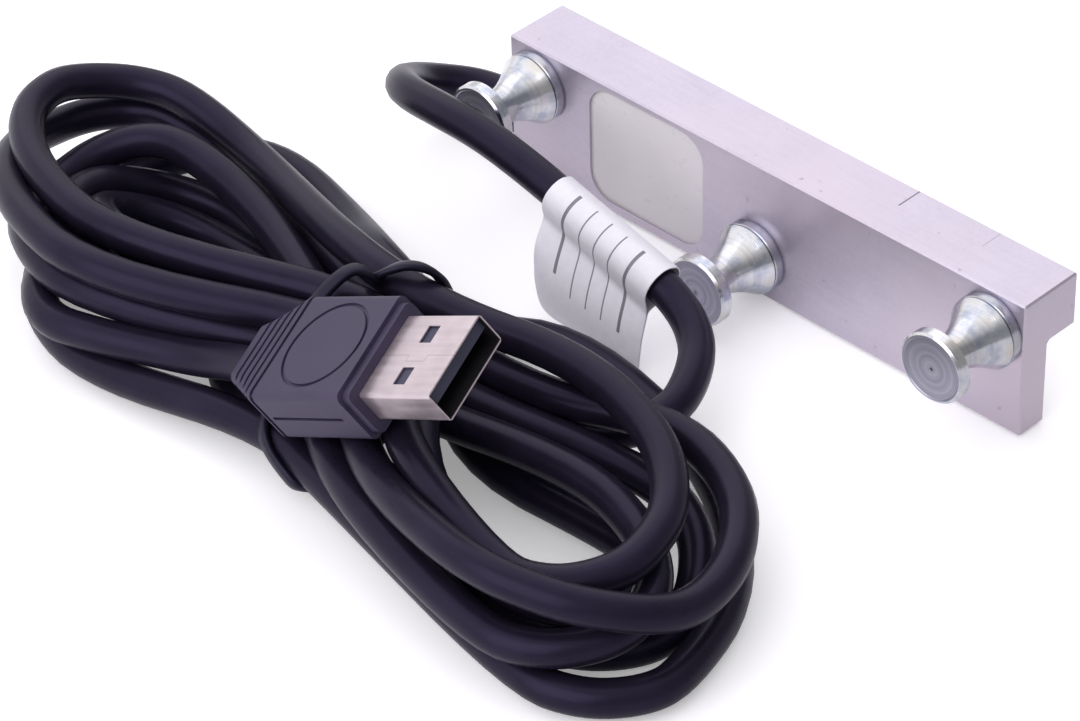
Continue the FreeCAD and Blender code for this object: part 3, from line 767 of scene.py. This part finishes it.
def bendTie(look):
    samples = curveSamples(look["path"])
    last = len(samples) - 1
    bpy.ops.mesh.primitive_grid_add(x_subdivisions=look["around"], y_subdivisions=last, size=1.0)
    piece = bpy.context.object
    piece.name = "hankTie"
    for vertex in piece.data.vertices:
        row = round((vertex.co.y + 0.5) * last)
        turn = (vertex.co.x + 0.5) * 2 * math.pi
        ahead = (samples[min(row + 1, last)] - samples[max(row - 1, 0)]).normalized()
        face = samples[row] - Vector(look["core"]) * mm
        face.x = 0.0
        face = (face - ahead * face.dot(ahead)).normalized()
        side = face.cross(ahead)
        across = flattened(math.cos(turn), look["squareness"]) * look["wide"] / 2
        depth = flattened(math.sin(turn), look["squareness"]) * look["thick"] / 2
        short = max(0.0, 1.0 - min(row, last - row) / look["endRows"])
        ending = max(look["endSize"], math.sqrt(max(0.0, 1.0 - short ** 2)))
        vertex.co = samples[row] + (side * across + face * depth) * mm * ending
    bpy.ops.object.mode_set(mode="EDIT")
    bpy.ops.mesh.select_all(action="SELECT")
    bpy.ops.mesh.remove_doubles(threshold=weld)
    bpy.ops.mesh.select_all(action="DESELECT")
    bpy.ops.mesh.select_non_manifold(extend=False)
    bpy.ops.mesh.fill()
    bpy.ops.mesh.select_all(action="SELECT")
    bpy.ops.mesh.normals_make_consistent(inside=False)
    bpy.ops.object.mode_set(mode="OBJECT")
    if signedVolume(piece) < 0.0:  # the recalculation can read a bent band inside out
        piece.data.flip_normals()
    bpy.ops.object.shade_smooth_by_angle(angle=math.radians(50))
    return piece


tie = bendTie(tieWire)
dress(tie, tiePlastic)
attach(tie, "root")
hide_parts("hank_tie")
print("tie bent")

# turned posts, modelled once and copied: (radius, distance from the bar's face) along half a section (mm)
postShape = {
    "barFace": 0.7,
    "root": (
        (0.0, 4.0), (2.25, 4.0), (2.25, 0.0), (4.65, 0.0), (4.8, -0.15), (4.8, -1.3), (4.7, -1.42),
        (4.4, -1.5), (4.4, -1.58),
    ),
    "flare": (
        (4.76, -1.70), (4.50, -2.1), (3.95, -2.9), (3.32, -4.0), (2.80, -5.1), (2.46, -6.2), (2.32, -7.3),
        (2.34, -8.5), (2.52, -9.05),
    ),
    "head": (
        (4.35, -9.1), (4.7, -9.4), (4.7, -10.72), (4.44, -11.0), (4.2, -11.0), (4.08, -10.9), (0.32, -10.9),
        (0.0, -10.72),
    ),
    "steps": 96,
    "pieces": {
        "post_left": "turnedPostLeft",
        "post_centre": "turnedPostCentre",
        "post_right": "turnedPostRight",
    },
}


def turnPost(look):
    root, flare, head = (
        [(radius, look["barFace"] + out, 0.0) for radius, out in look[key]] for key in ("root", "flare", "head")
    )
    root, head = ([Vector(point) * mm for point in stretch] for stretch in (root, head))
    section = root + curveSamples(flare) + head
    bpy.ops.object.select_all(action="DESELECT")
    bpy.ops.mesh.primitive_plane_add(size=mm)
    piece = bpy.context.object
    bpy.ops.object.mode_set(mode="EDIT")
    bpy.ops.mesh.select_all(action="SELECT")
    bpy.ops.mesh.merge(type="CENTER")
    bpy.ops.transform.translate(value=section[0])
    for here, there in zip(section, section[1:]):
        bpy.ops.mesh.extrude_region_move(TRANSFORM_OT_translate={"value": there - here})
    bpy.ops.mesh.select_all(action="SELECT")
    bpy.ops.mesh.spin(steps=look["steps"], angle=2 * math.pi, center=(0, 0, 0), axis=(0, 1, 0))
    bpy.ops.mesh.select_all(action="SELECT")
    bpy.ops.mesh.remove_doubles(threshold=weld)
    bpy.ops.mesh.normals_make_consistent(inside=False)
    bpy.ops.object.mode_set(mode="OBJECT")
    bpy.ops.object.shade_smooth_by_angle(angle=math.radians(24))
    return piece


def setPosts(look, finish):
    pattern = turnPost(look)
    for node, name in look["pieces"].items():
        post = pattern.copy()
        post.data = pattern.data.copy()
        post.name = name
        bpy.context.collection.objects.link(post)
        pickOnly(post)
        axisX, axisZ = finish["axes"][node]
        post.location = (axisX * mm, 0.0, axisZ * mm)
        bpy.ops.object.transform_apply(location=True, rotation=False, scale=False)
        dress(post, turnedSteel(finish, node))
        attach(post, "root")
        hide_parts(node)
    pickOnly(pattern)
    bpy.ops.object.delete()


setPosts(postShape, postFinish)
print("posts turned")

# pale floor, a broad softbox above and behind, a smaller one in front, a sky that dims towards the camera
studio = {
    "floor": (0.90, 0.893, 0.915),
    "floorGlow": (1.0, 0.995, 1.0),
    "floorLift": (0.30, 0.10),
    "floorSize": 8.0,
    "floorDrop": 0.0003,
    "card": (0.030, 0.055, 0.6),  # a grey card on the floor's right side, seen only in reflections
    "cardTone": (0.24, 0.235, 0.25),
    "sky": (0.985, 0.975, 1.0),
    "skyShine": (0.30, 1.10),
    "skyFill": (0.42, 1.22),
    "skyTurn": (0.0, 0.85),
    "keySide": (-0.62, -0.26, 0.74),
    "lamps": (
        ("softboxAbove", (-0.55, 0.42, 0.95), 1.4, 3.2, (1.0, 0.965, 1.0)),
        ("softboxFront", (0.05, -0.95, 0.55), 1.0, 5.0, (0.985, 0.955, 1.0)),
    ),
    "aim": (-0.015, -0.035, 0.005),
}


def seenDirectly(tree):
    rays = addNode(tree, "LightPath").outputs
    return rays["Is Camera Ray"], sums(tree, "MAXIMUM", rays["Is Glossy Ray"], rays["Is Transmission Ray"])


def layFloor(look):
    bpy.ops.object.select_all(action="DESELECT")
    bpy.ops.mesh.primitive_plane_add(size=look["floorSize"], location=(0, 0, -look["floorDrop"]))
    floor = bpy.context.object
    floor.name = "studioFloor"
    bpy.ops.object.transform_apply(location=True, rotation=False, scale=False)
    material, tree, shader = newMaterial("paleFloor", look["floor"], 0.9, 0.0, Specular_IOR_Level=0.1)
    faint = noise(tree, place(tree), 3.0, 2.0)
    pale = tones(tree, faint, (0.3, tuple(c * 0.985 for c in look["floor"])), (0.7, look["floor"]))
    camera, glossy = seenDirectly(tree)
    start, end, share = look["card"]
    x, _, _ = parts(tree, place(tree))
    card = sums(tree, "MULTIPLY", glossy, spread(tree, x, start, end, 0.0, share))
    tree.links.new(blendColours(tree, card, pale, look["cardTone"]), shader.inputs["Base Color"])
    shader.inputs["Emission Color"].default_value = (*look["floorGlow"], 1.0)
    lift = weighted(tree, *zip((camera, glossy), look["floorLift"]))
    tree.links.new(lift, shader.inputs["Emission Strength"])
    dress(floor, material)


def hangLamps(look):
    for name, spot, size, power, tint in look["lamps"]:
        bpy.ops.object.light_add(type="AREA", location=spot)
        lamp = bpy.context.object
        lamp.name = name
        lamp.data.shape = "SQUARE"
        lamp.data.size = size
        lamp.data.energy = power
        lamp.data.color = tint
        lamp.rotation_euler = (Vector(look["aim"]) - Vector(spot)).to_track_quat("-Z", "Y").to_euler()


def paintSky(look):
    world = bpy.data.worlds.new("studioSky")
    world.use_nodes = True
    bpy.context.scene.world = world
    tree = world.node_tree
    tree.nodes.clear()
    camera, glossy = seenDirectly(tree)
    coords = addNode(tree, "TexCoord")
    facing = along(tree, coords.outputs["Generated"], Vector(look["keySide"]).normalized())
    level = addNode(tree, "Mix")
    tree.links.new(glossy, level.inputs[0])
    for socket, key in ((2, "skyFill"), (3, "skyShine")):
        tree.links.new(spread(tree, facing, *look["skyTurn"], *look[key]), level.inputs[socket])
    strength = sums(tree, "MAXIMUM", level.outputs[0], camera)
    sky = addNode(tree, "Background", {"Color": (*look["sky"], 1.0)})
    out = addNode(tree, "OutputWorld")
    tree.links.new(strength, sky.inputs["Strength"])
    tree.links.new(sky.outputs["Background"], out.inputs["Surface"])


layFloor(studio)
hangLamps(studio)
paintSky(studio)
bpy.context.scene.view_settings.view_transform = "Standard"
print("studio lit")
